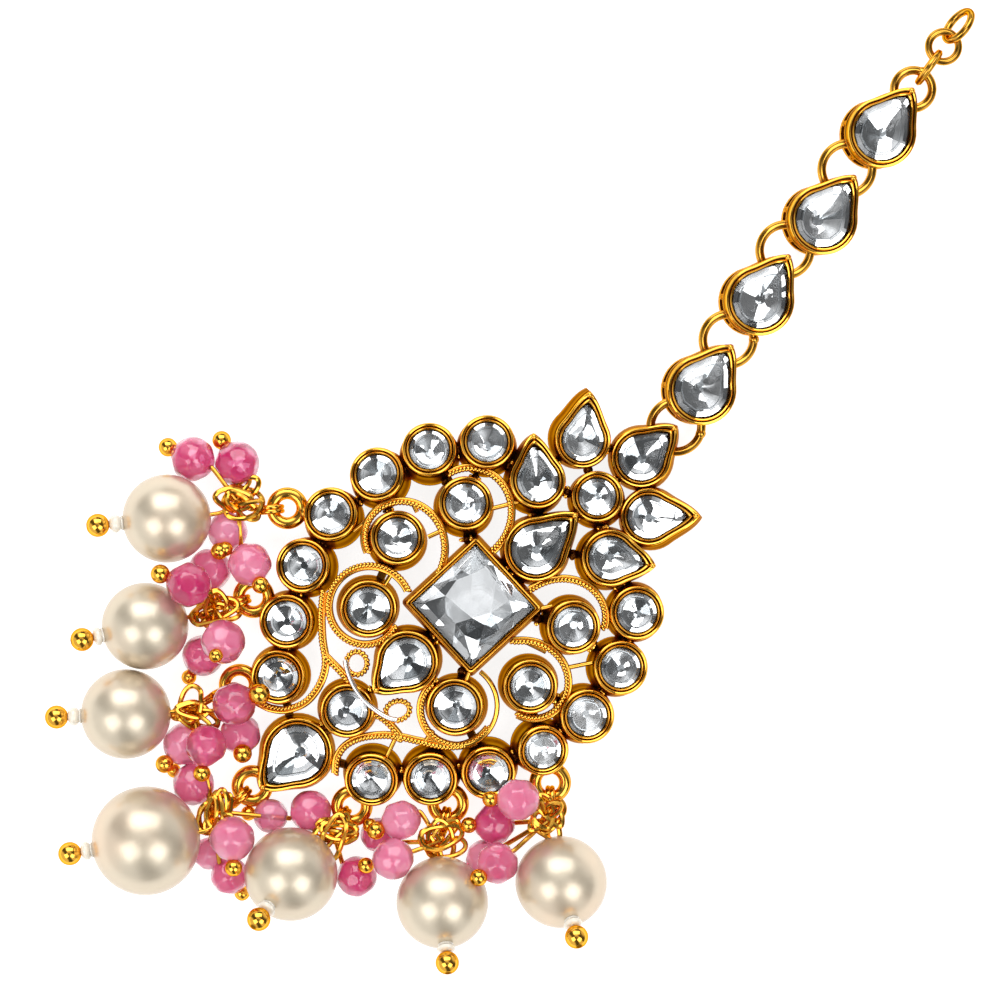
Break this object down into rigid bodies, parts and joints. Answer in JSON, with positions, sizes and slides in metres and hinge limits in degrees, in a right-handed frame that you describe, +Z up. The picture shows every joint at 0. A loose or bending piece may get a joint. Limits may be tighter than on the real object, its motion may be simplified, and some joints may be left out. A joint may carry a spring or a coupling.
{
  "type": "maang tikka",
  "caption": "Gold-tone maang tikka lying face up: a soldered plate of clear cut stones with twisted scrolls, a short chain of pear settings and drilled pearl drops",
  "frame": {"origin": "centre of the bounding box in plan, on the floor that the piece lies on", "axes": "+Y runs along the plate from the corner pear and the pearl drops to the chain and its last link; +X is to the right seen from above; +Z is up, out of the stones' faces"},
  "size_m": [0.0594, 0.1158, 0.0101],
  "materials": {
    "gold": "polished cast and soldered gold-tone metal",
    "crystal": "clear cut stones with a silvered back",
    "pearl": "cream pearls with a peach sheen"
  },
  "bodies": {
    "root": {"plate_frame": "gold", "stone_square": "crystal", "stone_pear_1": "crystal", "stone_pear_2": "crystal", "stone_pear_3": "crystal", "stone_pear_4": "crystal", "stone_pear_5": "crystal", "stone_pear_6": "crystal", "stone_pear_7": "crystal", "stone_pear_8": "crystal", "stone_round_1": "crystal", "stone_round_2": "crystal", "stone_round_3": "crystal", "stone_round_4": "crystal", "stone_round_5": "crystal", "stone_round_6": "crystal", "stone_round_7": "crystal", "stone_round_8": "crystal", "stone_round_9": "crystal", "stone_round_10": "crystal", "stone_round_11": "crystal", "stone_round_12": "crystal", "stone_round_13": "crystal", "stone_round_14": "crystal", "stone_round_15": "crystal", "stone_round_16": "crystal", "stone_round_17": "crystal", "stone_round_18": "crystal", "stone_round_19": "crystal", "stone_round_20": "crystal", "stone_round_21": "crystal", "stone_round_22": "crystal", "chain_setting_1": "gold", "chain_stone_1": "crystal", "chain_setting_2": "gold", "chain_stone_2": "crystal", "chain_setting_3": "gold", "chain_stone_3": "crystal", "chain_setting_4": "gold", "chain_stone_4": "crystal", "chain_ring_1": "gold", "chain_ring_2": "gold", "chain_ring_3": "gold", "chain_ring_4": "gold", "chain_ring_5": "gold", "end_links": "gold", "drop_pearl_1": "pearl", "drop_wire_1": "gold", "drop_pearl_2": "pearl", "drop_wire_2": "gold", "drop_pearl_3": "pearl", "drop_wire_3": "gold", "drop_pearl_4": "pearl", "drop_wire_4": "gold", "drop_pearl_5": "pearl", "drop_wire_5": "gold", "drop_pearl_6": "pearl", "drop_wire_6": "gold", "drop_pearl_7": "pearl", "drop_wire_7": "gold"}
  },
  "joints": []
}
